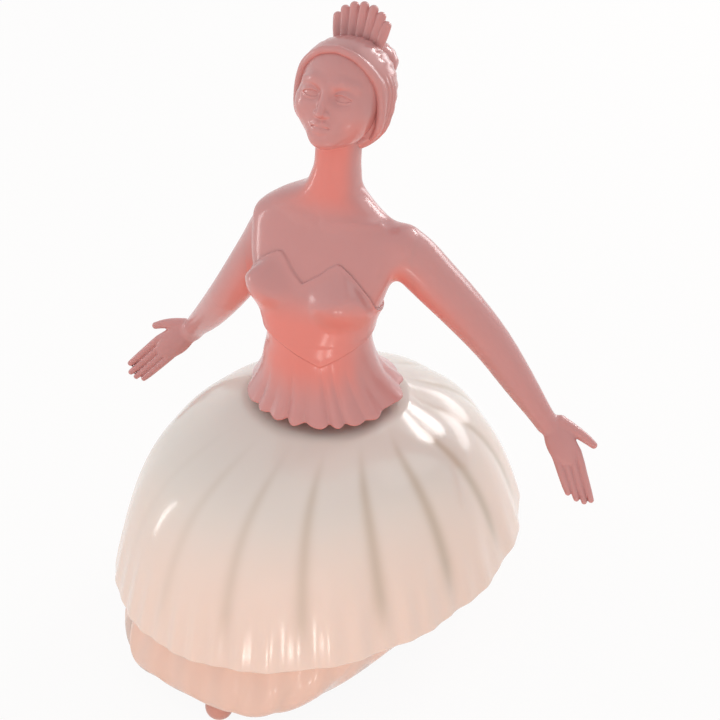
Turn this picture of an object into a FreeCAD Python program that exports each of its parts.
# Ballerina jewellery box: a ribbed, skirt-shaped box with a turning figure and a musical movement.
# Millimetres, +Z up. The origin is on the floor under the figure's turning axis.
# The skirt's front faces -Y, and the figure's left side is towards +X.
import FreeCAD, Part
import math
import os

from FreeCAD import Vector

# Skirt lid
RIB_COUNT = 16
RIB_POINTS = 6
RIB_TURN = 4.0
SKIRT_HALF_WIDTH = 69.3
SKIRT_HALF_LENGTH = 89.2
SKIRT_RIB_HEIGHT = 2.0
RIM_Z = 33.0
RIM_LIP = 1.6
CROWN_Z = 97.0
CROWN_RADIUS = 30.0
DOME_POWER = 4.2
DOME_CONE_SHARE = 0.29
# How far the dome's middle height and its rim stand off the turning axis, in x and y
DOME_LEAN = (1.6, -6.6)
RIM_SHIFT = (-0.3, -2.0)
DOME_LEVELS = (0.0, 0.15, 0.35, 0.55, 0.72, 0.86, 0.95)
LID_WALL = 2.2
FLANGE_WIDTH = 13.0
FLANGE_THICK = 2.0
LID_GAP = 0.3

# Base tub
TUB_BOTTOM_Z = 9.0
TUB_BOTTOM_HALF_WIDTH = 42.4
TUB_BOTTOM_SHIFT = -1.6
TUB_BOTTOM_FRONT = 86.5
TUB_BOTTOM_BACK = 76.0
TUB_BOTTOM_POWER = 4.0
TUB_TOP_HALF_WIDTH = 64.0
TUB_TOP_FRONT = 82.4
TUB_TOP_BACK = 80.4
TUB_TOP_POWER = 2.1
TUB_WALL = 2.2
TUB_FLOOR = 2.4
TUB_RIB_HEIGHT = 0.9
TUB_EDGE_ROUND = 4.0

# Ball feet
FOOT_RADIUS = 5.2
FOOT_FLAT_RADIUS = 2.6
FOOT_PEG_RADIUS = 1.6
FOOT_FRONT = 79.3
FOOT_BACK = 66.0
FOOT_SIDE = 33.0
FOOT_TURN = 6.3

# Hinge
HINGE_Y = 84.5
HINGE_Z = 28.5
HINGE_RADIUS = 3.0
HINGE_PIN_RADIUS = 1.25
HINGE_LID_EAR = 21.2
HINGE_TUB_EAR = 6.0
HINGE_SIDE_GAP = 0.4
HINGE_WEB = 4.0

# General fits
RUN_FIT = 0.05
SIDE_GAP = 0.3

# Movement frame
BED_Z = 13.4
BED_THICK = 1.8
BED_LEFT = -19.5
BED_RIGHT = 32.0
BED_FRONT = -8.5
BED_BACK = 30.5
BED_NOTCH_X = 24.0
BED_NOTCH_Y = 22.0
BOSS_RADIUS = 3.2
SCREW_RADIUS = 1.0
SCREW_HEAD_RADIUS = 1.9
SCREW_HEAD = 1.1
SCREW_LENGTH = 5.0
SCREW_SLOT = 0.5
BED_SCREWS = ((-9.5, -5.8), (9.5, -5.8), (-10.0, 27.4), (10.0, 27.4))

# Wheel train
MODULE = 0.8
FLY_MODULE = 0.6
DRIVE_TEETH = 14
BARREL_TEETH = 28
WHEEL_PINION_TEETH = 12
WHEEL_TEETH = 24
FLY_PINION_TEETH = 8
CROWN_TEETH = 24
CROWN_PINION_TEETH = 8
CROWN_INNER = 8.5
CROWN_OUTER = 10.2
CROWN_TOOTH = 1.15
CROWN_TOOTH_BASE = 1.0
CROWN_TOOTH_TIP = 0.6
GEAR_Z = 16.2
GEAR_WIDTH = 2.0
TOOTH_ADDENDUM = 0.8
TOOTH_DEDENDUM = 1.15
TOOTH_ROOT_SHARE = 0.27
TOOTH_TIP_SHARE = 0.12

# Spring motor
DRUM_RADIUS = 7.6
DRUM_WALL = 0.8
DRUM_HEIGHT = 10.0
DRUM_CAP = 0.8
ARBOR_RADIUS = 2.5
SPRING_TURNS = 4
SPRING_THICK = 0.3
SPRING_HEIGHT = 9.0
CLUTCH_RADIUS = 4.2
CLUTCH_HEIGHT = 1.4

# Winding key
KEY_Z = 1.6
KEY_HEIGHT = 5.8
KEY_HUB_RADIUS = 4.0
KEY_SPAN = 20.0
KEY_THICK = 2.6

# Cylinder and comb
CYLINDER_RADIUS = 5.2
CYLINDER_START = 14.0
CYLINDER_LENGTH = 15.0
CYLINDER_ARBOR_RADIUS = 1.0
PIN_HEIGHT = 0.6
PIN_WIDTH = 0.5
PIN_ROWS = 12
PINS_PER_ROW = 4
BRACKET_THICK = 1.0
BRACKET_WIDTH = 6.0
BRACKET_RISE = 3.0
COMB_THICK = 1.0
COMB_TEETH = 15
COMB_SLOT = 0.3
COMB_BACK_Y = -6.0
COMB_HEEL = 5.5
COMB_TIP_GAP = 0.25

# Governor
WHEEL_WIDTH = 1.4
WHEEL_LIFT = 3.2
WHEEL_ARBOR_RADIUS = 0.9
FLY_ARBOR_RADIUS = 0.7
FLY_BLADE_RADIUS = 5.0
FLY_BLADE_THICK = 0.7
FLY_BLADE_Z = 22.0
FLY_BLADE_HEIGHT = 5.5
FLY_COLLAR_RADIUS = 2.2
CAGE_Z = 28.6
CAGE_THICK = 1.0
CAGE_HALF_WIDTH = 2.5
CAGE_FRONT = -3.5
CAGE_BACK = 28.5
CAGE_POST_RADIUS = 1.5

# Stop slider under the tub
STOP_TRAVEL = 3.0
STOP_STEM = 1.5
STOP_WIDTH = 2.4
STOP_KNOB_LENGTH = 9.0
STOP_KNOB_WIDTH = 7.0
STOP_KNOB_Z = 4.6
STOP_PLATE = 1.1
STOP_BEND = 2.0

# Movement cover
COVER_LEFT = -27.5
COVER_RIGHT = 34.0
COVER_FRONT = -11.5
COVER_BACK = 32.5
COVER_TOP_Z = 32.2
COVER_WALL = 1.5
COVER_CORNER = 3.0
PILLAR_RADIUS = 2.6
COVER_SCREWS = ((-22.6, -6.0), (28.5, 27.0))

# Drive coupling and spindle
SHAFT_RADIUS = 2.0
FORK_Z = 34.0
FORK_THICK = 2.0
FORK_RADIUS = 6.0
FORK_LUG = 5.0
FORK_LUG_WIDTH = 2.2
BLADE_THICK = 2.0
BLADE_GAP = 1.2
BLADE_HALF_LENGTH = 5.8
BLADE_DROP = 5.0
BLADE_COLLAR_RADIUS = 3.6
BLADE_COLLAR = 4.0
BUSH_RADIUS = 4.0
BUSH_LENGTH = 33.0
BUSH_FLANGE_RADIUS = 6.0
BUSH_FLANGE = 1.0
LID_BOSS_RADIUS = 6.5
CLIP_RADIUS = 4.2
CLIP_THICK = 1.2

# Trays
TRAY_GAP = 0.4
TRAY_WALL = 1.5
TRAY_FRONT_EDGE = -12.5
TRAY_REAR_EDGE = 33.5
TRAY_TOP_DROP = 1.0
TRAY_DIVIDER_Y = -47.0
TRAY_DIVIDER_DROP = 3.0

# Figure, in its own frame: it faces -Y and is then turned on the spindle
FIGURE_TURN = 9.5
FIGURE_WALL = 2.4
SEAM_Y = 4.0
PEPLUM_RADIUS = 30.0
PEPLUM_RIM_Z = 100.4
PEPLUM_RUFFLES = 18
PEPLUM_RUFFLE = 1.1
PEPLUM_WALL = 2.0
HUB_RADIUS = 6.0
HUB_HEIGHT = 14.0
HUB_GAP = 0.3
WAIST_Z = 113.0
# Torso levels from the waist seam to the top of the neck: height, centre in y, half width, half depth
TORSO = (
    (113.0, -4.0, 22.6, 19.0),
    (120.0, -6.0, 20.6, 17.0),
    (127.0, -7.0, 20.0, 16.5),
    (136.0, -7.0, 22.0, 17.0),
    (146.0, -5.5, 24.8, 18.0),
    (154.0, -3.0, 27.0, 17.5),
    (162.0, 1.0, 28.6, 14.5),
    (169.0, 4.5, 27.0, 11.5),
    (174.5, 6.0, 19.0, 10.3),
    (180.0, 7.3, 11.4, 9.4),
    (186.5, 8.5, 8.6, 8.6),
    (204.0, 10.8, 8.2, 8.2),
)
BUST_X = 12.5
BUST_Y = -13.6
BUST_Z = 152.3
BUST_RADII = (12.0, 11.0, 12.5)
# Arms from shoulder to wrist: distance from the middle, y, z and radius
LEFT_ARM = (
    (30.0, 6.4, 160.5, 9.6),
    (36.6, 10.8, 151.0, 8.9),
    (45.6, 17.1, 138.0, 8.5),
    (55.6, 23.5, 121.3, 7.4),
    (64.6, 28.3, 105.0, 6.2),
    (73.7, 32.5, 89.1, 4.6),
)
RIGHT_ARM = (
    (23.6, 7.0, 158.6, 9.2),
    (30.6, 9.8, 147.0, 8.8),
    (38.6, 12.0, 134.5, 8.0),
    (49.6, 16.0, 118.5, 7.1),
    (62.0, 23.2, 102.4, 6.0),
    (74.6, 30.7, 88.0, 4.6),
)
SHOULDER_RADIUS = 9.6
HAND_ALONG = Vector(0.701, -0.290, -0.651)
HAND_ACROSS = Vector(0.669, 0.576, 0.463)
PALM_LENGTH = 17.0
PALM_HALF_WIDTH = 5.8
PALM_HALF_THICK = 3.0
FINGER_RADIUS = 1.7
FINGER_TIP = 1.2
FINGER_FAN = 0.08
FINGER_LENGTHS = (14.0, 18.0, 20.0, 18.0)
THUMB_LENGTH = 16.0
THUMB_ALONG = 0.79
THUMB_ACROSS = 0.61
HEAD_CENTRE = Vector(0.8, 12.3, 214.0)
HEAD_RADII = (13.8, 14.5, 16.5)
JAW_CENTRE = Vector(0.8, 7.0, 204.0)
JAW_RADII = (10.5, 9.5, 9.5)
HAIR_CENTRE = Vector(0.8, 14.4, 213.2)
HAIR_RADII = (17.2, 15.2, 18.4)
HAIR_LINE = Vector(0.8, 6.3, 218.0)
HAIR_LINE_NORMAL = Vector(0.0, -0.94, -0.34)
COMB_FOOT = Vector(1.4, 21.0, 217.5)
COMB_RIBS = 7
COMB_RIB_LENGTH = 23.6
COMB_RIB_FALL = 0.2
COMB_RIB_START = 8.0
COMB_RIB_FOOT = 1.6
COMB_RIB_TIP = 2.0
COMB_FAN_HALF_ANGLE = 24.0
COMB_LEAN = 12.0

# Values worked out from the sizes above
FLOOR_Z = TUB_BOTTOM_Z + TUB_FLOOR
TUB_TOP_Z = RIM_Z - LID_GAP
BED_TOP_Z = BED_Z + BED_THICK
BARREL_Y = MODULE * (DRIVE_TEETH + BARREL_TEETH) / 2
WHEEL_X = -MODULE * (BARREL_TEETH + WHEEL_PINION_TEETH) / 2
FLY_Y = BARREL_Y - FLY_MODULE * (WHEEL_TEETH + FLY_PINION_TEETH) / 2
FLANGE_TOP_Z = GEAR_Z + GEAR_WIDTH
CROWN_MODULE = (CROWN_INNER + CROWN_OUTER) / CROWN_TEETH
CYLINDER_Z = (FLANGE_TOP_Z + 0.25 + CROWN_MODULE * (CROWN_PINION_TEETH / 2 + TOOTH_ADDENDUM))
WHEEL_Z = GEAR_Z + WHEEL_LIFT
HUB_Z = CROWN_Z + BUSH_FLANGE + HUB_GAP
BUSH_LOW_Z = CROWN_Z - BUSH_LENGTH
SPINDLE_LOW_Z = FORK_Z + FORK_THICK + BLADE_DROP + 1.0
Z_AXIS = Vector(0, 0, 1)
X_AXIS = Vector(1, 0, 0)


# Small shape helpers
def cylinder(radius, height, x, y, z, axis=Z_AXIS):
    return Part.makeCylinder(radius, height, Vector(x, y, z), axis)


def block(x0, x1, y0, y1, z0, z1):
    return Part.makeBox(x1 - x0, y1 - y0, z1 - z0, Vector(x0, y0, z0))


def ball(centre, radii):
    sphere = Part.makeSphere(1.0)
    stretch = FreeCAD.Matrix()
    stretch.scale(Vector(*radii))
    stretch.move(centre)
    return sphere.transformGeometry(stretch)


def closed_curve(points):
    curve = Part.BSplineCurve()
    curve.interpolate(Points=points, PeriodicFlag=True)
    return Part.Wire([curve.toShape()])


def loft(wires, ruled=False):
    return Part.makeLoft(wires, True, ruled)


def ring_angles(count):
    return [2 * math.pi * i / count for i in range(count)]


def rib_wave(angle):
    return abs(math.cos(RIB_COUNT * (angle - math.radians(RIB_TURN)) / 2))


def signed_power(value, power):
    return math.copysign(abs(value) ** power, value)


# Skirt lid
def dome_height(share):
    fall = (1 - DOME_CONE_SHARE) * share ** DOME_POWER + DOME_CONE_SHARE * share
    return CROWN_Z - (CROWN_Z - RIM_Z) * fall


def dome_share(height):
    low = 0.0
    high = 1.0
    for _ in range(40):
        middle = (low + high) / 2
        if dome_height(middle) > height:
            low = middle
        else:
            high = middle
    return low


def skirt_section(share, z, inset, ribbed):
    half_width = CROWN_RADIUS + (SKIRT_HALF_WIDTH - CROWN_RADIUS) * share - inset
    half_length = CROWN_RADIUS + (SKIRT_HALF_LENGTH - CROWN_RADIUS) * share - inset
    lean = 4 * share * (1 - share)
    shift_x = DOME_LEAN[0] * lean + RIM_SHIFT[0] * share
    shift_y = DOME_LEAN[1] * lean + RIM_SHIFT[1] * share
    rib_height = SKIRT_RIB_HEIGHT * share if ribbed else 0.0
    count = RIB_COUNT * RIB_POINTS if ribbed else RIB_COUNT * 2
    points = []
    for angle in ring_angles(count):
        rib = rib_height * rib_wave(angle)
        x = shift_x + (half_width + rib) * math.sin(angle)
        y = shift_y - (half_length + rib) * math.cos(angle)
        points.append(Vector(x, y, z))
    return closed_curve(points)


def skirt_lid():
    outer = [skirt_section(share, dome_height(share), 0, True) for share in DOME_LEVELS]
    lip_z = RIM_Z + RIM_LIP
    outer.append(skirt_section(dome_share(lip_z), lip_z, 0, True))
    outer.append(skirt_section(1.0, RIM_Z, RIM_LIP / 2, True))
    inner_low_z = RIM_Z + FLANGE_THICK
    last_share = dome_share(inner_low_z + LID_WALL)
    shares = [share for share in DOME_LEVELS if share < last_share] + [last_share]
    inner = [skirt_section(share, dome_height(share) - LID_WALL, LID_WALL, False) for share in shares]
    mouth = [skirt_section(1.0, z, FLANGE_WIDTH, False) for z in (RIM_Z - 1, inner_low_z + 1)]
    shell = loft(outer).cut(loft(inner)).cut(loft(mouth, True))
    boss_low_z = BUSH_LOW_Z
    boss = cylinder(LID_BOSS_RADIUS, CROWN_Z - LID_WALL / 2 - boss_low_z, 0, 0, boss_low_z)
    ear = cylinder(HINGE_RADIUS, HINGE_LID_EAR, -HINGE_LID_EAR / 2, HINGE_Y, HINGE_Z, X_AXIS)
    web = block(-HINGE_LID_EAR / 2, HINGE_LID_EAR / 2, HINGE_Y - HINGE_WEB / 2, HINGE_Y + HINGE_WEB / 2,
                HINGE_Z, RIM_Z + FLANGE_THICK / 2)
    shell = shell.fuse([boss, ear, web])
    shell = shell.cut(cylinder(BUSH_RADIUS, BUSH_LENGTH + 2, 0, 0, boss_low_z - 1))
    pin_hole = cylinder(HINGE_PIN_RADIUS + RUN_FIT, HINGE_LID_EAR + 2, -HINGE_LID_EAR / 2 - 1,
                        HINGE_Y, HINGE_Z, X_AXIS)
    return shell.cut(pin_hole)


# Base tub
def tub_section(z, inset, ribbed):
    share = (z - TUB_BOTTOM_Z) / (TUB_TOP_Z - TUB_BOTTOM_Z)
    half_width = TUB_BOTTOM_HALF_WIDTH + (TUB_TOP_HALF_WIDTH - TUB_BOTTOM_HALF_WIDTH) * share - inset
    shift_x = TUB_BOTTOM_SHIFT * (1 - share)
    front = TUB_BOTTOM_FRONT + (TUB_TOP_FRONT - TUB_BOTTOM_FRONT) * share - inset
    back = TUB_BOTTOM_BACK + (TUB_TOP_BACK - TUB_BOTTOM_BACK) * share - inset
    power = 2 / (TUB_BOTTOM_POWER + (TUB_TOP_POWER - TUB_BOTTOM_POWER) * share)
    count = RIB_COUNT * RIB_POINTS if ribbed else RIB_COUNT * 2
    points = []
    for angle in ring_angles(count):
        rib = TUB_RIB_HEIGHT * rib_wave(angle) if ribbed else 0.0
        length = front if math.cos(angle) > 0 else back
        x = shift_x + (half_width + rib) * signed_power(math.sin(angle), power)
        y = -(length + rib) * signed_power(math.cos(angle), power)
        points.append(Vector(x, y, z))
    return closed_curve(points)


def tub_cavity(gap, low_z, high_z):
    heights = (low_z, (low_z * 2 + high_z) / 3, (low_z + high_z * 2) / 3, high_z)
    return loft([tub_section(z, TUB_WALL + gap, False) for z in heights])


def base_tub():
    round_mid = TUB_BOTTOM_Z + TUB_EDGE_ROUND * 0.3
    round_top = TUB_BOTTOM_Z + TUB_EDGE_ROUND
    middle = (round_top + TUB_TOP_Z) / 2
    sections = [tub_section(TUB_BOTTOM_Z, TUB_EDGE_ROUND, True)]
    sections.append(tub_section(round_mid, TUB_EDGE_ROUND * 0.3, True))
    sections += [tub_section(z, 0, True) for z in (round_top, middle, TUB_TOP_Z)]
    body = loft(sections)
    for side in (-1, 1):
        inner_x = HINGE_LID_EAR / 2 + HINGE_SIDE_GAP
        start_x = inner_x if side > 0 else -inner_x - HINGE_TUB_EAR
        ear = cylinder(HINGE_RADIUS, HINGE_TUB_EAR, start_x, HINGE_Y, HINGE_Z, X_AXIS)
        web = block(start_x, start_x + HINGE_TUB_EAR, TUB_TOP_BACK - TUB_WALL * 2, HINGE_Y,
                    HINGE_Z - HINGE_WEB / 2, HINGE_Z + HINGE_WEB / 2)
        body = body.fuse([ear, web])
    body = body.cut(tub_cavity(0, FLOOR_Z, TUB_TOP_Z + 1))
    bosses = [cylinder(BOSS_RADIUS, BED_Z - FLOOR_Z + 0.2, x, y, FLOOR_Z - 0.2) for x, y in BED_SCREWS]
    pillar_top = COVER_TOP_Z - COVER_WALL
    bosses += [cylinder(PILLAR_RADIUS, pillar_top - FLOOR_Z + 0.2, x, y, FLOOR_Z - 0.2)
               for x, y in COVER_SCREWS]
    body = body.fuse(bosses)
    holes = [cylinder(SCREW_RADIUS, SCREW_LENGTH, x, y, BED_TOP_Z - SCREW_LENGTH) for x, y in BED_SCREWS]
    holes += [cylinder(SCREW_RADIUS, SCREW_LENGTH, x, y, COVER_TOP_Z - SCREW_LENGTH) for x, y in COVER_SCREWS]
    pin_length = HINGE_LID_EAR + 2 * (HINGE_SIDE_GAP + HINGE_TUB_EAR)
    holes.append(cylinder(HINGE_PIN_RADIUS, pin_length, -pin_length / 2, HINGE_Y, HINGE_Z, X_AXIS))
    holes.append(cylinder(ARBOR_RADIUS + SIDE_GAP, TUB_FLOOR + 2, 0, BARREL_Y, TUB_BOTTOM_Z - 1))
    stem_x = stop_stem_x()
    holes.append(block(stem_x - SIDE_GAP, stem_x + STOP_STEM + STOP_TRAVEL + SIDE_GAP,
                       FLY_Y - STOP_WIDTH / 2 - SIDE_GAP, FLY_Y + STOP_WIDTH / 2 + SIDE_GAP,
                       TUB_BOTTOM_Z - 1, FLOOR_Z + 1))
    holes += [cylinder(FOOT_PEG_RADIUS, TUB_FLOOR * 2, x, y, TUB_BOTTOM_Z - TUB_FLOOR)
              for x, y in foot_places()]
    return body.cut(holes)


def foot_places():
    turn = math.radians(FOOT_TURN)
    sine = math.sin(turn)
    cosine = math.cos(turn)
    front = (FOOT_FRONT * sine, -FOOT_FRONT * cosine)
    back = (-FOOT_BACK * sine, FOOT_BACK * cosine)
    left = (FOOT_SIDE * cosine, FOOT_SIDE * sine)
    right = (-FOOT_SIDE * cosine, -FOOT_SIDE * sine)
    return (front, back, left, right)


def base_feet():
    centre_z = math.sqrt(FOOT_RADIUS ** 2 - FOOT_FLAT_RADIUS ** 2)
    feet = []
    for x, y in foot_places():
        foot = Part.makeSphere(FOOT_RADIUS, Vector(x, y, centre_z))
        reach = 2 * FOOT_RADIUS
        foot = foot.common(block(x - reach, x + reach, y - reach, y + reach, 0, TUB_BOTTOM_Z))
        peg = cylinder(FOOT_PEG_RADIUS, TUB_FLOOR + 1, x, y, TUB_BOTTOM_Z - 1)
        feet.append(foot.fuse(peg))
    return feet


def hinge_pin():
    length = HINGE_LID_EAR + 2 * (HINGE_SIDE_GAP + HINGE_TUB_EAR)
    return cylinder(HINGE_PIN_RADIUS, length, -length / 2, HINGE_Y, HINGE_Z, X_AXIS)


def tray(y0, y1, *dividers):
    low_z = FLOOR_Z + TRAY_GAP
    high_z = TUB_TOP_Z - TRAY_TOP_DROP
    outer = tub_cavity(TRAY_GAP, low_z, high_z)
    inner = tub_cavity(TRAY_GAP + TRAY_WALL, low_z + TRAY_WALL, high_z + 1)
    reach = SKIRT_HALF_WIDTH
    body = outer.common(block(-reach, reach, y0, y1, 0, RIM_Z))
    starts = (y0,) + dividers
    ends = dividers + (y1 - TRAY_WALL,)
    for start, end in zip(starts, ends):
        body = body.cut(inner.common(block(-reach, reach, start + TRAY_WALL, end, 0, RIM_Z)))
    for y in dividers:
        slot = block(-reach, reach, y - 1, y + TRAY_WALL + 1, high_z - TRAY_DIVIDER_DROP, RIM_Z)
        body = body.cut(inner.common(slot))
    return body


def front_tray():
    return tray(-SKIRT_HALF_LENGTH, TRAY_FRONT_EDGE, TRAY_DIVIDER_Y)


def rear_tray():
    return tray(TRAY_REAR_EDGE, SKIRT_HALF_LENGTH)


# Movement frame
def slotted_screw(x, y, seat_z):
    head = cylinder(SCREW_HEAD_RADIUS, SCREW_HEAD, x, y, seat_z)
    slot = block(x - SCREW_HEAD_RADIUS, x + SCREW_HEAD_RADIUS, y - SCREW_SLOT / 2, y + SCREW_SLOT / 2,
                 seat_z + SCREW_HEAD - SCREW_SLOT, seat_z + SCREW_HEAD + 1)
    shank = cylinder(SCREW_RADIUS, SCREW_LENGTH, x, y, seat_z - SCREW_LENGTH)
    return head.cut(slot).fuse(shank)


def bedplate():
    plate = block(BED_LEFT, BED_RIGHT, BED_FRONT, BED_BACK, BED_Z, BED_TOP_Z)
    plate = plate.cut(block(BED_NOTCH_X, BED_RIGHT + 1, BED_NOTCH_Y, BED_BACK + 1, BED_Z - 1, BED_TOP_Z + 1))
    heel_end = CYLINDER_START + CYLINDER_LENGTH
    heel = block(CYLINDER_START, heel_end, COMB_BACK_Y, COMB_BACK_Y + COMB_HEEL,
                 BED_TOP_Z - 0.2, CYLINDER_Z - COMB_THICK / 2)
    plate = plate.fuse(heel)
    holes = [cylinder(SCREW_RADIUS, BED_THICK + 2, x, y, BED_Z - 1) for x, y in BED_SCREWS]
    comb_top = CYLINDER_Z + COMB_THICK / 2
    holes += [cylinder(SCREW_RADIUS, SCREW_LENGTH, x, y, comb_top - SCREW_LENGTH) for x, y in comb_screw_places()]
    holes.append(cylinder(SHAFT_RADIUS + RUN_FIT, BED_THICK + 2, 0, 0, BED_Z - 1))
    holes.append(cylinder(CLUTCH_RADIUS, BED_THICK + 2, 0, BARREL_Y, BED_Z - 1))
    holes.append(cylinder(WHEEL_ARBOR_RADIUS + RUN_FIT, BED_THICK + 2, WHEEL_X, BARREL_Y, BED_Z - 1))
    holes.append(cylinder(FLY_ARBOR_RADIUS + RUN_FIT, BED_THICK + 2, WHEEL_X, FLY_Y, BED_Z - 1))
    return plate.cut(holes)


def comb_screw_places():
    y = COMB_BACK_Y + COMB_HEEL / 2
    return ((CYLINDER_START + CYLINDER_LENGTH * 0.25, y), (CYLINDER_START + CYLINDER_LENGTH * 0.75, y))


def bracket_starts():
    left = CYLINDER_START - SIDE_GAP * 2 - BRACKET_THICK
    right = CYLINDER_START + CYLINDER_LENGTH + SIDE_GAP * 2
    return (left, right)


def cylinder_brackets():
    brackets = []
    for x in bracket_starts():
        post = block(x, x + BRACKET_THICK, BARREL_Y - BRACKET_WIDTH / 2, BARREL_Y + BRACKET_WIDTH / 2,
                     BED_TOP_Z, CYLINDER_Z + BRACKET_RISE)
        bore = cylinder(CYLINDER_ARBOR_RADIUS + RUN_FIT, BRACKET_THICK + 2, x - 1, BARREL_Y, CYLINDER_Z, X_AXIS)
        brackets.append(post.cut(bore))
    return brackets


def governor_cage():
    plate = block(WHEEL_X - CAGE_HALF_WIDTH, WHEEL_X + CAGE_HALF_WIDTH, CAGE_FRONT, CAGE_BACK,
                  CAGE_Z, CAGE_Z + CAGE_THICK)
    inset = CAGE_POST_RADIUS + 0.5
    posts = [cylinder(CAGE_POST_RADIUS, CAGE_Z - BED_TOP_Z + 0.2, WHEEL_X, y, BED_TOP_Z)
             for y in (CAGE_FRONT + inset, CAGE_BACK - inset)]
    plate = plate.fuse(posts)
    holes = [cylinder(WHEEL_ARBOR_RADIUS + RUN_FIT, CAGE_THICK + 2, WHEEL_X, BARREL_Y, CAGE_Z - 1)]
    holes.append(cylinder(FLY_ARBOR_RADIUS + RUN_FIT, CAGE_THICK + 2, WHEEL_X, FLY_Y, CAGE_Z - 1))
    return plate.cut(holes)


# Wheels
def gear(teeth, module, width, phase):
    tip_radius = module * (teeth / 2 + TOOTH_ADDENDUM)
    root_radius = module * (teeth / 2 - TOOTH_DEDENDUM)
    pitch = 2 * math.pi / teeth
    points = []
    for i in range(teeth):
        middle = phase + pitch * i
        for radius, share in ((root_radius, -TOOTH_ROOT_SHARE), (tip_radius, -TOOTH_TIP_SHARE),
                              (tip_radius, TOOTH_TIP_SHARE), (root_radius, TOOTH_ROOT_SHARE)):
            angle = middle + pitch * share
            points.append(Vector(radius * math.cos(angle), radius * math.sin(angle), 0))
    outline = Part.makePolygon(points + [points[0]])
    return Part.Face(outline).extrude(Vector(0, 0, width))


def meshing_phase(followed_teeth, followed_phase, teeth, direction):
    # Turns a wheel so that one of its gaps faces the nearest tooth of the wheel that it meshes with.
    pitch = 2 * math.pi / followed_teeth
    offset = (followed_phase - direction) % pitch
    gap = direction + math.pi - offset * followed_teeth / teeth
    return gap + math.pi / teeth


def barrel_phase():
    return -math.pi / 2


def drive_gear():
    phase = meshing_phase(BARREL_TEETH, barrel_phase(), DRIVE_TEETH, -math.pi / 2)
    wheel = gear(DRIVE_TEETH, MODULE, GEAR_WIDTH, phase)
    wheel.translate(Vector(0, 0, GEAR_Z))
    shaft = cylinder(SHAFT_RADIUS, FORK_Z + FORK_THICK - BED_Z, 0, 0, BED_Z)
    return wheel.fuse(shaft)


def drive_fork():
    disc = cylinder(FORK_RADIUS, FORK_THICK, 0, 0, FORK_Z)
    lug_start = BLADE_THICK / 2 + BLADE_GAP
    round_bar = cylinder(FORK_RADIUS, FORK_LUG + FORK_THICK, 0, 0, FORK_Z)
    for side in (-1, 1):
        near = side * lug_start
        far = side * (lug_start + FORK_LUG_WIDTH)
        slab = block(-FORK_RADIUS, FORK_RADIUS, min(near, far), max(near, far),
                     FORK_Z, FORK_Z + FORK_THICK + FORK_LUG)
        disc = disc.fuse(slab.common(round_bar))
    return disc.cut(cylinder(SHAFT_RADIUS, FORK_THICK, 0, 0, FORK_Z))


def spring_barrel():
    wheel = gear(BARREL_TEETH, MODULE, GEAR_WIDTH, barrel_phase())
    teeth = []
    for angle in ring_angles(CROWN_TEETH):
        profile = [Vector(CROWN_INNER, -CROWN_TOOTH_BASE / 2, GEAR_WIDTH - 0.1),
                   Vector(CROWN_INNER, CROWN_TOOTH_BASE / 2, GEAR_WIDTH - 0.1),
                   Vector(CROWN_INNER, CROWN_TOOTH_TIP / 2, GEAR_WIDTH + CROWN_TOOTH),
                   Vector(CROWN_INNER, -CROWN_TOOTH_TIP / 2, GEAR_WIDTH + CROWN_TOOTH)]
        tooth = Part.Face(Part.makePolygon(profile + [profile[0]])).extrude(
            Vector(CROWN_OUTER - CROWN_INNER, 0, 0))
        tooth.rotate(Vector(), Z_AXIS, math.degrees(angle))
        teeth.append(tooth)
    drum = cylinder(DRUM_RADIUS, DRUM_HEIGHT + 0.2, 0, 0, GEAR_WIDTH - 0.2)
    body = wheel.fuse(teeth + [drum])
    body = body.cut(cylinder(DRUM_RADIUS - DRUM_WALL, DRUM_HEIGHT + 1, 0, 0, GEAR_WIDTH))
    body = body.cut(cylinder(ARBOR_RADIUS + RUN_FIT, GEAR_WIDTH + 2, 0, 0, -1))
    body.translate(Vector(0, BARREL_Y, GEAR_Z))
    return body


def barrel_cap():
    z = FLANGE_TOP_Z + DRUM_HEIGHT
    cap = cylinder(DRUM_RADIUS, DRUM_CAP, 0, BARREL_Y, z)
    return cap.cut(cylinder(ARBOR_RADIUS + RUN_FIT, DRUM_CAP, 0, BARREL_Y, z))


def mainspring():
    inner = ARBOR_RADIUS + SIDE_GAP
    outer = DRUM_RADIUS - DRUM_WALL
    growth = (outer - SPRING_THICK - inner) / (2 * SPRING_TURNS)
    edges = []
    for side in (0.0, SPRING_THICK):
        x = inner + side
        for half in range(2 * SPRING_TURNS):
            sign = 1 if half % 2 == 0 else -1
            end = -sign * (abs(x) + growth)
            centre = (x + end) / 2
            radius = abs(x - end) / 2
            middle = Vector(centre, sign * radius, 0)
            edges.append(Part.Arc(Vector(x, 0, 0), middle, Vector(end, 0, 0)).toShape())
            x = end
    inner_end = edges[2 * SPRING_TURNS - 1].Vertexes[-1].Point
    outer_end = edges[-1].Vertexes[-1].Point
    edges.append(Part.LineSegment(Vector(inner, 0, 0), Vector(inner + SPRING_THICK, 0, 0)).toShape())
    edges.append(Part.LineSegment(inner_end, outer_end).toShape())
    outline = Part.Wire(Part.__sortEdges__(edges))
    ribbon = Part.Face(outline).extrude(Vector(0, 0, SPRING_HEIGHT))
    ribbon.translate(Vector(0, BARREL_Y, FLANGE_TOP_Z + (DRUM_HEIGHT - SPRING_HEIGHT) / 2))
    return ribbon


def winding_arbor():
    top_z = FLANGE_TOP_Z + DRUM_HEIGHT + DRUM_CAP
    return cylinder(ARBOR_RADIUS, top_z - KEY_Z - 1, 0, BARREL_Y, KEY_Z + 1)


def winding_clutch():
    ring = cylinder(CLUTCH_RADIUS, CLUTCH_HEIGHT, 0, BARREL_Y, BED_Z)
    return ring.cut(cylinder(ARBOR_RADIUS + RUN_FIT, CLUTCH_HEIGHT, 0, BARREL_Y, BED_Z))


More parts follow.
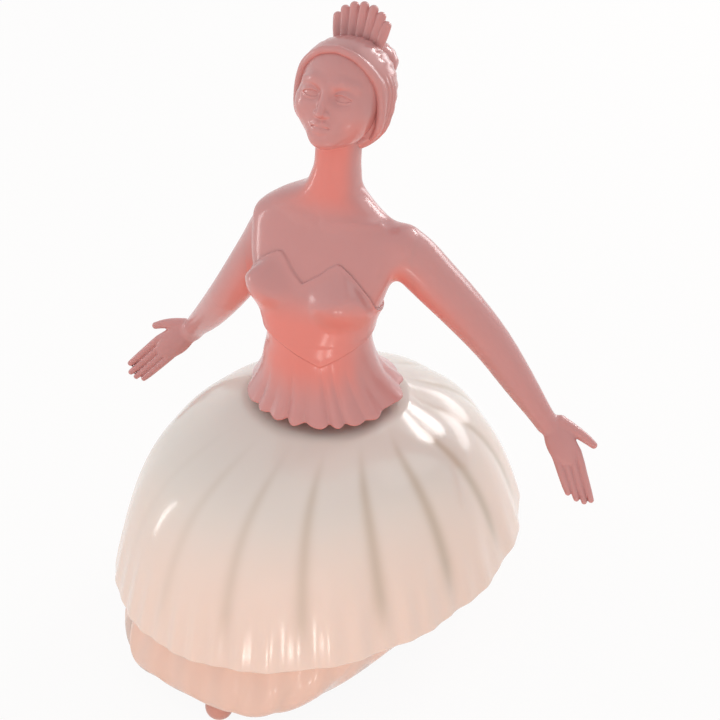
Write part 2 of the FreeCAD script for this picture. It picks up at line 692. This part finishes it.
def winding_key():
    hub = cylinder(KEY_HUB_RADIUS, KEY_HEIGHT, 0, BARREL_Y, KEY_Z)
    wing = cylinder(KEY_HEIGHT / 2, KEY_THICK, 0, 0, 0)
    wings = [hub]
    for side in (-1, 1):
        lobe = wing.copy()
        lobe.rotate(Vector(), X_AXIS, 90)
        lobe.translate(Vector(side * (KEY_SPAN - KEY_HEIGHT) / 2, BARREL_Y + KEY_THICK / 2, KEY_Z + KEY_HEIGHT / 2))
        wings.append(lobe)
    half_span = (KEY_SPAN - KEY_HEIGHT) / 2
    wings.append(block(-half_span, half_span, BARREL_Y - KEY_THICK / 2, BARREL_Y + KEY_THICK / 2,
                       KEY_Z + KEY_HEIGHT * 0.2, KEY_Z + KEY_HEIGHT * 0.8))
    key = wings[0].fuse(wings[1:])
    return key.cut(cylinder(ARBOR_RADIUS, KEY_HEIGHT, 0, BARREL_Y, KEY_Z + 1))


def music_cylinder():
    drum = cylinder(CYLINDER_RADIUS, CYLINDER_LENGTH, 0, 0, 0)
    pitch = CYLINDER_LENGTH / COMB_TEETH
    pins = []
    for row in range(PIN_ROWS):
        for place in range(PINS_PER_ROW):
            track = (row * 4 + place * 7) % COMB_TEETH
            z = pitch * (track + 0.5)
            pin = block(CYLINDER_RADIUS - 0.3, CYLINDER_RADIUS + PIN_HEIGHT, -PIN_WIDTH / 2, PIN_WIDTH / 2,
                        z - PIN_WIDTH / 2, z + PIN_WIDTH / 2)
            pin.rotate(Vector(), Z_AXIS, 360 / PIN_ROWS * (row + place / PINS_PER_ROW))
            pins.append(pin)
    drum = drum.fuse(pins).cut(cylinder(CYLINDER_ARBOR_RADIUS, CYLINDER_LENGTH, 0, 0, 0))
    drum.rotate(Vector(), Vector(0, 1, 0), 90)
    drum.translate(Vector(CYLINDER_START, BARREL_Y, CYLINDER_Z))
    return drum


def cylinder_arbor():
    right_bracket = bracket_starts()[1]
    length = right_bracket + BRACKET_THICK + 0.5 - CROWN_INNER
    arbor = cylinder(CYLINDER_ARBOR_RADIUS, length, 0, 0, 0)
    # A crown tooth points straight at the pinion's axis, so the pinion has a gap at its lowest point.
    pinion = gear(CROWN_PINION_TEETH, CROWN_MODULE, CROWN_OUTER - CROWN_INNER, math.pi / CROWN_PINION_TEETH)
    arbor = arbor.fuse(pinion)
    arbor.rotate(Vector(), Vector(0, 1, 0), 90)
    arbor.translate(Vector(CROWN_INNER, BARREL_Y, CYLINDER_Z))
    return arbor


def tune_comb():
    tip_y = BARREL_Y - CYLINDER_RADIUS - PIN_HEIGHT - COMB_TIP_GAP
    end_x = CYLINDER_START + CYLINDER_LENGTH
    low_z = CYLINDER_Z - COMB_THICK / 2
    comb = block(CYLINDER_START, end_x, COMB_BACK_Y, tip_y, low_z, low_z + COMB_THICK)
    pitch = CYLINDER_LENGTH / COMB_TEETH
    cuts = []
    for i in range(1, COMB_TEETH):
        x = CYLINDER_START + pitch * i
        slot_y = COMB_BACK_Y + COMB_HEEL + (tip_y - COMB_BACK_Y - COMB_HEEL) * 0.5 * i / COMB_TEETH
        cuts.append(block(x - COMB_SLOT / 2, x + COMB_SLOT / 2, slot_y, tip_y + 1, low_z - 1, low_z + COMB_THICK + 1))
    cuts += [cylinder(SCREW_RADIUS, COMB_THICK + 2, x, y, low_z - 1) for x, y in comb_screw_places()]
    return comb.cut(cuts)


def governor_wheel():
    direction = math.pi
    phase = meshing_phase(BARREL_TEETH, barrel_phase(), WHEEL_PINION_TEETH, direction)
    pinion = gear(WHEEL_PINION_TEETH, MODULE, GEAR_WIDTH, phase)
    pinion.translate(Vector(0, 0, GEAR_Z))
    wheel = gear(WHEEL_TEETH, FLY_MODULE, WHEEL_WIDTH, -math.pi / 2)
    wheel.translate(Vector(0, 0, WHEEL_Z))
    neck = cylinder(FLY_COLLAR_RADIUS, WHEEL_Z - GEAR_Z, 0, 0, GEAR_Z)
    arbor = cylinder(WHEEL_ARBOR_RADIUS, CAGE_Z + CAGE_THICK - BED_Z, 0, 0, BED_Z)
    body = pinion.fuse([wheel, neck, arbor])
    body.translate(Vector(WHEEL_X, BARREL_Y, 0))
    return body


def governor_fly():
    phase = meshing_phase(WHEEL_TEETH, -math.pi / 2, FLY_PINION_TEETH, -math.pi / 2)
    pinion = gear(FLY_PINION_TEETH, FLY_MODULE, WHEEL_WIDTH, phase)
    pinion.translate(Vector(0, 0, WHEEL_Z))
    arbor = cylinder(FLY_ARBOR_RADIUS, CAGE_Z + CAGE_THICK - BED_Z, 0, 0, BED_Z)
    collar = cylinder(FLY_COLLAR_RADIUS, GEAR_WIDTH, 0, 0, GEAR_Z)
    blades = block(-FLY_BLADE_RADIUS, FLY_BLADE_RADIUS, -FLY_BLADE_THICK / 2, FLY_BLADE_THICK / 2,
                   FLY_BLADE_Z, FLY_BLADE_Z + FLY_BLADE_HEIGHT)
    body = pinion.fuse([arbor, collar, blades])
    body.translate(Vector(WHEEL_X, FLY_Y, 0))
    return body


def comb_screws():
    seat_z = CYLINDER_Z + COMB_THICK / 2
    return [slotted_screw(x, y, seat_z) for x, y in comb_screw_places()]


# Stop slider
def stop_stem_x():
    finger_x = WHEEL_X - FLY_COLLAR_RADIUS - SIDE_GAP - STOP_TRAVEL
    return finger_x - STOP_BEND - STOP_STEM


def stop_slider():
    x = stop_stem_x()
    half = STOP_WIDTH / 2
    finger_x = x + STOP_STEM + STOP_BEND
    finger_z = GEAR_Z + GEAR_WIDTH * 0.8
    knob_x = x + STOP_STEM / 2
    knob = block(knob_x - STOP_KNOB_LENGTH / 2, knob_x + STOP_KNOB_LENGTH / 2,
                 FLY_Y - STOP_KNOB_WIDTH / 2, FLY_Y + STOP_KNOB_WIDTH / 2, STOP_KNOB_Z, TUB_BOTTOM_Z - SIDE_GAP)
    knob = knob.makeFillet(1.0, [edge for edge in knob.Edges if edge.BoundBox.ZLength > 1])
    stem = block(x, x + STOP_STEM, FLY_Y - half, FLY_Y + half, TUB_BOTTOM_Z - 1, finger_z)
    plate = block(x - 0.8, x + STOP_STEM + 0.8, FLY_Y - half * 2, FLY_Y + half * 2,
                  FLOOR_Z + SIDE_GAP, FLOOR_Z + SIDE_GAP + STOP_PLATE)
    finger = block(x, finger_x, FLY_Y - half, FLY_Y + half, finger_z - STOP_STEM, finger_z)
    return knob.fuse([stem, plate, finger])


# Movement cover
def movement_cover():
    outer = block(COVER_LEFT, COVER_RIGHT, COVER_FRONT, COVER_BACK, FLOOR_Z, COVER_TOP_Z)
    outer = outer.makeFillet(COVER_CORNER, [e for e in outer.Edges if e.BoundBox.ZLength > COVER_WALL])
    top_edges = [e for e in outer.Edges if e.BoundBox.ZMin > COVER_TOP_Z - 0.1]
    outer = outer.makeFillet(COVER_WALL * 0.8, top_edges)
    inner = block(COVER_LEFT + COVER_WALL, COVER_RIGHT - COVER_WALL, COVER_FRONT + COVER_WALL,
                  COVER_BACK - COVER_WALL, FLOOR_Z - 1, COVER_TOP_Z - COVER_WALL)
    inner = inner.makeFillet(COVER_CORNER - COVER_WALL, [e for e in inner.Edges if e.BoundBox.ZLength > COVER_WALL])
    shell = outer.cut(inner)
    holes = [cylinder(SHAFT_RADIUS + RUN_FIT, COVER_WALL * 3, 0, 0, COVER_TOP_Z - COVER_WALL * 2)]
    holes += [cylinder(SCREW_RADIUS, COVER_WALL * 3, x, y, COVER_TOP_Z - COVER_WALL * 2) for x, y in COVER_SCREWS]
    return shell.cut(holes)


def cover_screws():
    return [slotted_screw(x, y, COVER_TOP_Z) for x, y in COVER_SCREWS]


def movement_screws():
    return [slotted_screw(x, y, BED_TOP_Z) for x, y in BED_SCREWS]


# Spindle
def spindle():
    return cylinder(SHAFT_RADIUS, HUB_Z + HUB_HEIGHT - 1 - SPINDLE_LOW_Z, 0, 0, SPINDLE_LOW_Z)


def spindle_bush():
    tube = cylinder(BUSH_RADIUS, BUSH_LENGTH, 0, 0, BUSH_LOW_Z)
    flange = cylinder(BUSH_FLANGE_RADIUS, BUSH_FLANGE, 0, 0, CROWN_Z)
    bore = cylinder(SHAFT_RADIUS + RUN_FIT, BUSH_LENGTH + BUSH_FLANGE, 0, 0, BUSH_LOW_Z)
    return tube.fuse(flange).cut(bore)


def spindle_clip():
    z = BUSH_LOW_Z - SIDE_GAP - CLIP_THICK
    ring = cylinder(CLIP_RADIUS, CLIP_THICK, 0, 0, z)
    return ring.cut(cylinder(SHAFT_RADIUS, CLIP_THICK, 0, 0, z))


def spindle_blade():
    low_z = FORK_Z + FORK_THICK + 1.0
    bar = block(-BLADE_HALF_LENGTH, BLADE_HALF_LENGTH, -BLADE_THICK / 2, BLADE_THICK / 2,
                low_z, SPINDLE_LOW_Z + 1)
    bar = bar.common(cylinder(BLADE_HALF_LENGTH, SPINDLE_LOW_Z, 0, 0, 0))
    collar = cylinder(BLADE_COLLAR_RADIUS, BLADE_COLLAR, 0, 0, SPINDLE_LOW_Z)
    return bar.fuse(collar).cut(cylinder(SHAFT_RADIUS, BLADE_COLLAR + 1, 0, 0, SPINDLE_LOW_Z))


# Figure
def torso_section(level, inset):
    z, centre_y, half_width, half_depth = level
    points = [Vector((half_width - inset) * math.sin(a), centre_y - (half_depth - inset) * math.cos(a), z)
              for a in ring_angles(16)]
    return closed_curve(points)


def torso_outer():
    body = loft([torso_section(level, 0) for level in TORSO])
    busts = [ball(Vector(side * BUST_X, BUST_Y, BUST_Z), BUST_RADII) for side in (-1, 1)]
    return body.fuse(busts)


def torso_shell():
    inner = [torso_section(level, FIGURE_WALL) for level in TORSO]
    return torso_outer().cut(loft(inner))


def half_space(front):
    reach = 200.0
    if front:
        return block(-reach, reach, -reach, SEAM_Y, 0, 2 * reach)
    return block(-reach, reach, SEAM_Y, reach, 0, 2 * reach)


def bodice_front():
    return torso_shell().common(half_space(True))


def bodice_back():
    return torso_shell().common(half_space(False))


def peplum_section(share, inset):
    # Share 0 is the waist seam, and share 1 the ruffled rim.
    z = WAIST_Z + (PEPLUM_RIM_Z - WAIST_Z) * share
    flare = share ** 2
    _, waist_y, waist_x_half, waist_y_half = TORSO[0]
    half_width = waist_x_half + (PEPLUM_RADIUS - waist_x_half) * flare - inset
    half_depth = waist_y_half + (PEPLUM_RADIUS - waist_y_half) * flare - inset
    centre_y = waist_y * (1 - flare)
    points = []
    for angle in ring_angles(PEPLUM_RUFFLES * 4):
        ruffle = PEPLUM_RUFFLE * flare * math.cos(PEPLUM_RUFFLES * angle)
        points.append(Vector((half_width + ruffle) * math.sin(angle),
                             centre_y - (half_depth + ruffle) * math.cos(angle), z))
    return closed_curve(points)


def peplum():
    shares = (0.0, 0.3, 0.6, 0.85, 1.0)
    outer = loft([peplum_section(share, 0) for share in shares])
    inner = loft([peplum_section(share, PEPLUM_WALL) for share in shares])
    skirt = outer.cut(inner)
    floor_z = HUB_Z + PEPLUM_WALL * 2
    web = block(-PEPLUM_RADIUS, PEPLUM_RADIUS, -PEPLUM_RADIUS, PEPLUM_RADIUS, floor_z, floor_z + PEPLUM_WALL)
    web = web.common(outer)
    hub = cylinder(HUB_RADIUS, HUB_HEIGHT, 0, 0, HUB_Z)
    body = skirt.fuse([web, hub])
    return body.cut(cylinder(SHAFT_RADIUS, HUB_HEIGHT - 1, 0, 0, HUB_Z))


def circle_wire(centre, direction, radius):
    return Part.Wire([Part.makeCircle(radius, centre, direction)])


def arm_solid(levels):
    stations = [Vector(x, y, z) for x, y, z, _ in levels]
    radii = [radius for _, _, _, radius in levels]
    wires = []
    for i, centre in enumerate(stations):
        before = stations[max(i - 1, 0)]
        after = stations[min(i + 1, len(stations) - 1)]
        wires.append(circle_wire(centre, after - before, radii[i]))
    limb = loft(wires)
    shoulder = Part.makeSphere(SHOULDER_RADIUS, stations[0])
    return limb.fuse([shoulder] + hand_pieces(stations[-1], radii[-1]))


def hand_frame():
    along = Vector(HAND_ALONG)
    along.normalize()
    across = HAND_ACROSS - along * HAND_ACROSS.dot(along)
    across.normalize()
    return along, across


def oval_wire(centre, along, across, half_width, half_thick):
    normal = along.cross(across)
    points = [centre + across * (half_width * math.cos(a)) + normal * (half_thick * math.sin(a))
              for a in ring_angles(12)]
    return closed_curve(points)


def finger(start, direction, length):
    direction = Vector(direction)
    direction.normalize()
    cone = Part.makeCone(FINGER_RADIUS, FINGER_TIP, length, start, direction)
    tip = Part.makeSphere(FINGER_TIP, start + direction * length)
    return cone.fuse(tip)


def hand_pieces(wrist, wrist_radius):
    along, across = hand_frame()
    ovals = [oval_wire(wrist - along * 1.5, along, across, wrist_radius * 0.95, wrist_radius * 0.9)]
    ovals.append(oval_wire(wrist + along * PALM_LENGTH * 0.35, along, across,
                           PALM_HALF_WIDTH * 0.85, PALM_HALF_THICK * 1.1))
    ovals.append(oval_wire(wrist + along * PALM_LENGTH * 0.75, along, across, PALM_HALF_WIDTH, PALM_HALF_THICK))
    ovals.append(oval_wire(wrist + along * PALM_LENGTH, along, across, PALM_HALF_WIDTH * 0.95, PALM_HALF_THICK * 0.7))
    pieces = [loft(ovals)]
    step = (2 * PALM_HALF_WIDTH - 2 * FINGER_RADIUS) / 3
    for i, length in enumerate(FINGER_LENGTHS):
        offset = -PALM_HALF_WIDTH + FINGER_RADIUS + step * i
        start = wrist + along * (PALM_LENGTH - 2.5) + across * (offset * 0.95)
        pieces.append(finger(start, along * length + across * (offset * FINGER_FAN), length))
    thumb_start = wrist + along * PALM_LENGTH * 0.35 + across * PALM_HALF_WIDTH * 0.5
    pieces.append(finger(thumb_start, along * THUMB_ALONG + across * THUMB_ACROSS, THUMB_LENGTH))
    return pieces


def left_arm():
    return arm_solid(LEFT_ARM).cut(torso_outer())


def right_arm():
    return arm_solid(RIGHT_ARM).mirror(Vector(), X_AXIS).cut(torso_outer())


def head():
    skull = ball(HEAD_CENTRE, HEAD_RADII).fuse(ball(JAW_CENTRE, JAW_RADII))
    hair = ball(HAIR_CENTRE, HAIR_RADII)
    size = 120.0
    keep = Part.makeBox(size, size, size, Vector(-size / 2, -size / 2, 0))
    turn = FreeCAD.Rotation(Z_AXIS, HAIR_LINE_NORMAL.negative())
    keep.Placement = FreeCAD.Placement(HAIR_LINE, turn).multiply(keep.Placement)
    return skull.fuse(hair.common(keep)).cut(torso_outer())


def hair_comb():
    lean = math.radians(COMB_LEAN)
    ribs = []
    for i in range(COMB_RIBS):
        place = 2 * i / (COMB_RIBS - 1) - 1
        fan = math.radians(COMB_FAN_HALF_ANGLE * place)
        length = COMB_RIB_LENGTH * (1 - COMB_RIB_FALL * place ** 2)
        direction = Vector(math.sin(fan), math.cos(fan) * math.sin(lean), math.cos(fan) * math.cos(lean))
        start = COMB_FOOT + direction * COMB_RIB_START
        rib = Part.makeCone(COMB_RIB_FOOT, COMB_RIB_TIP, length - COMB_RIB_START, start, direction)
        ribs.append(rib.fuse(Part.makeSphere(COMB_RIB_TIP, COMB_FOOT + direction * length)))
    return ribs[0].fuse(ribs[1:]).cut(head())


BOX_PIECES = (
    base_tub, base_feet, hinge_pin, front_tray, rear_tray, bedplate, movement_screws, cylinder_brackets,
    governor_cage, tune_comb, comb_screws, spring_barrel, barrel_cap, mainspring, winding_arbor, winding_clutch,
    winding_key, music_cylinder, cylinder_arbor, governor_wheel, governor_fly, stop_slider, movement_cover,
    cover_screws, drive_gear, drive_fork, skirt_lid, spindle_bush, spindle, spindle_blade, spindle_clip,
)
FIGURE_PIECES = (peplum, bodice_front, bodice_back, left_arm, right_arm, head, hair_comb)


def write(piece, turn):
    shape = piece()
    solids = shape if isinstance(shape, list) else shape.Solids
    body = Part.makeCompound(solids) if len(solids) > 1 else solids[0]
    body = body.copy()
    body.rotate(Vector(), Z_AXIS, turn)
    body.exportStep("parts/" + piece.__name__ + ".step")


os.makedirs("parts", exist_ok=True)
for piece in BOX_PIECES:
    write(piece, 0.0)
for piece in FIGURE_PIECES:
    write(piece, FIGURE_TURN)
